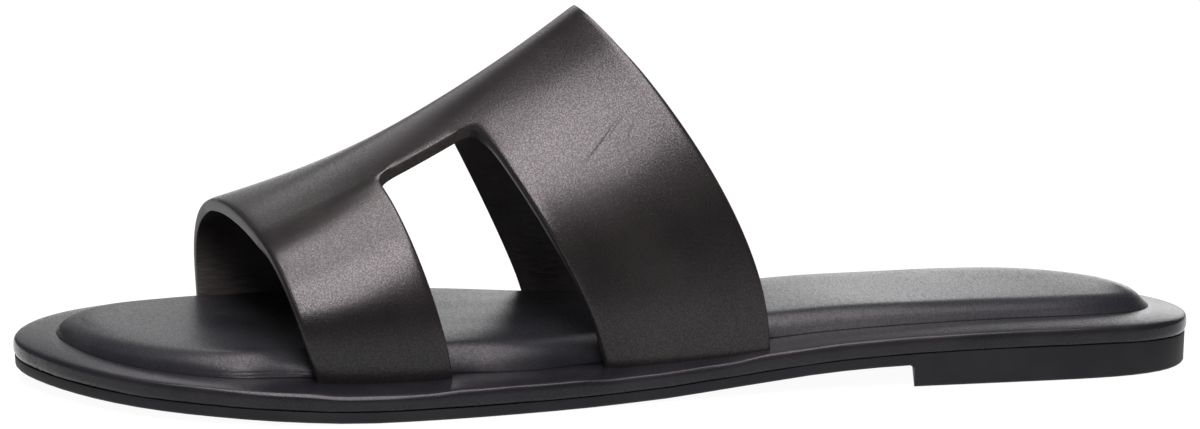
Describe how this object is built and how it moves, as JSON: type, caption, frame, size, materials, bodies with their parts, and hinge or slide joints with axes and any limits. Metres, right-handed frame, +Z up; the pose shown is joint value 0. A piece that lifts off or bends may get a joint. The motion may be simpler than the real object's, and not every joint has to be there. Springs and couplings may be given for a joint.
{
  "type": "flat slide sandal",
  "caption": "Flat left slide sandal: leather upper of a front and an instep band joined over the top, padded insole, wrapped rim and thin rubber sole with a low heel.",
  "frame": {"origin": "centre of the bounding box in plan, on the floor plane the sole stands on", "axes": "+X from the toe to the heel, +Y from the outer side to the inner side, +Z up"},
  "size_m": [0.26, 0.0934, 0.0813],
  "materials": {
    "black_rubber": "matte black moulded rubber",
    "black_leather": "smooth black grain leather with a soft satin sheen",
    "insole_leather": "fine black satin leather over a soft pad"
  },
  "bodies": {
    "root": {"outsole": "black_rubber", "midsole": "black_leather", "insole": "insole_leather", "upper": "black_leather"}
  },
  "joints": []
}
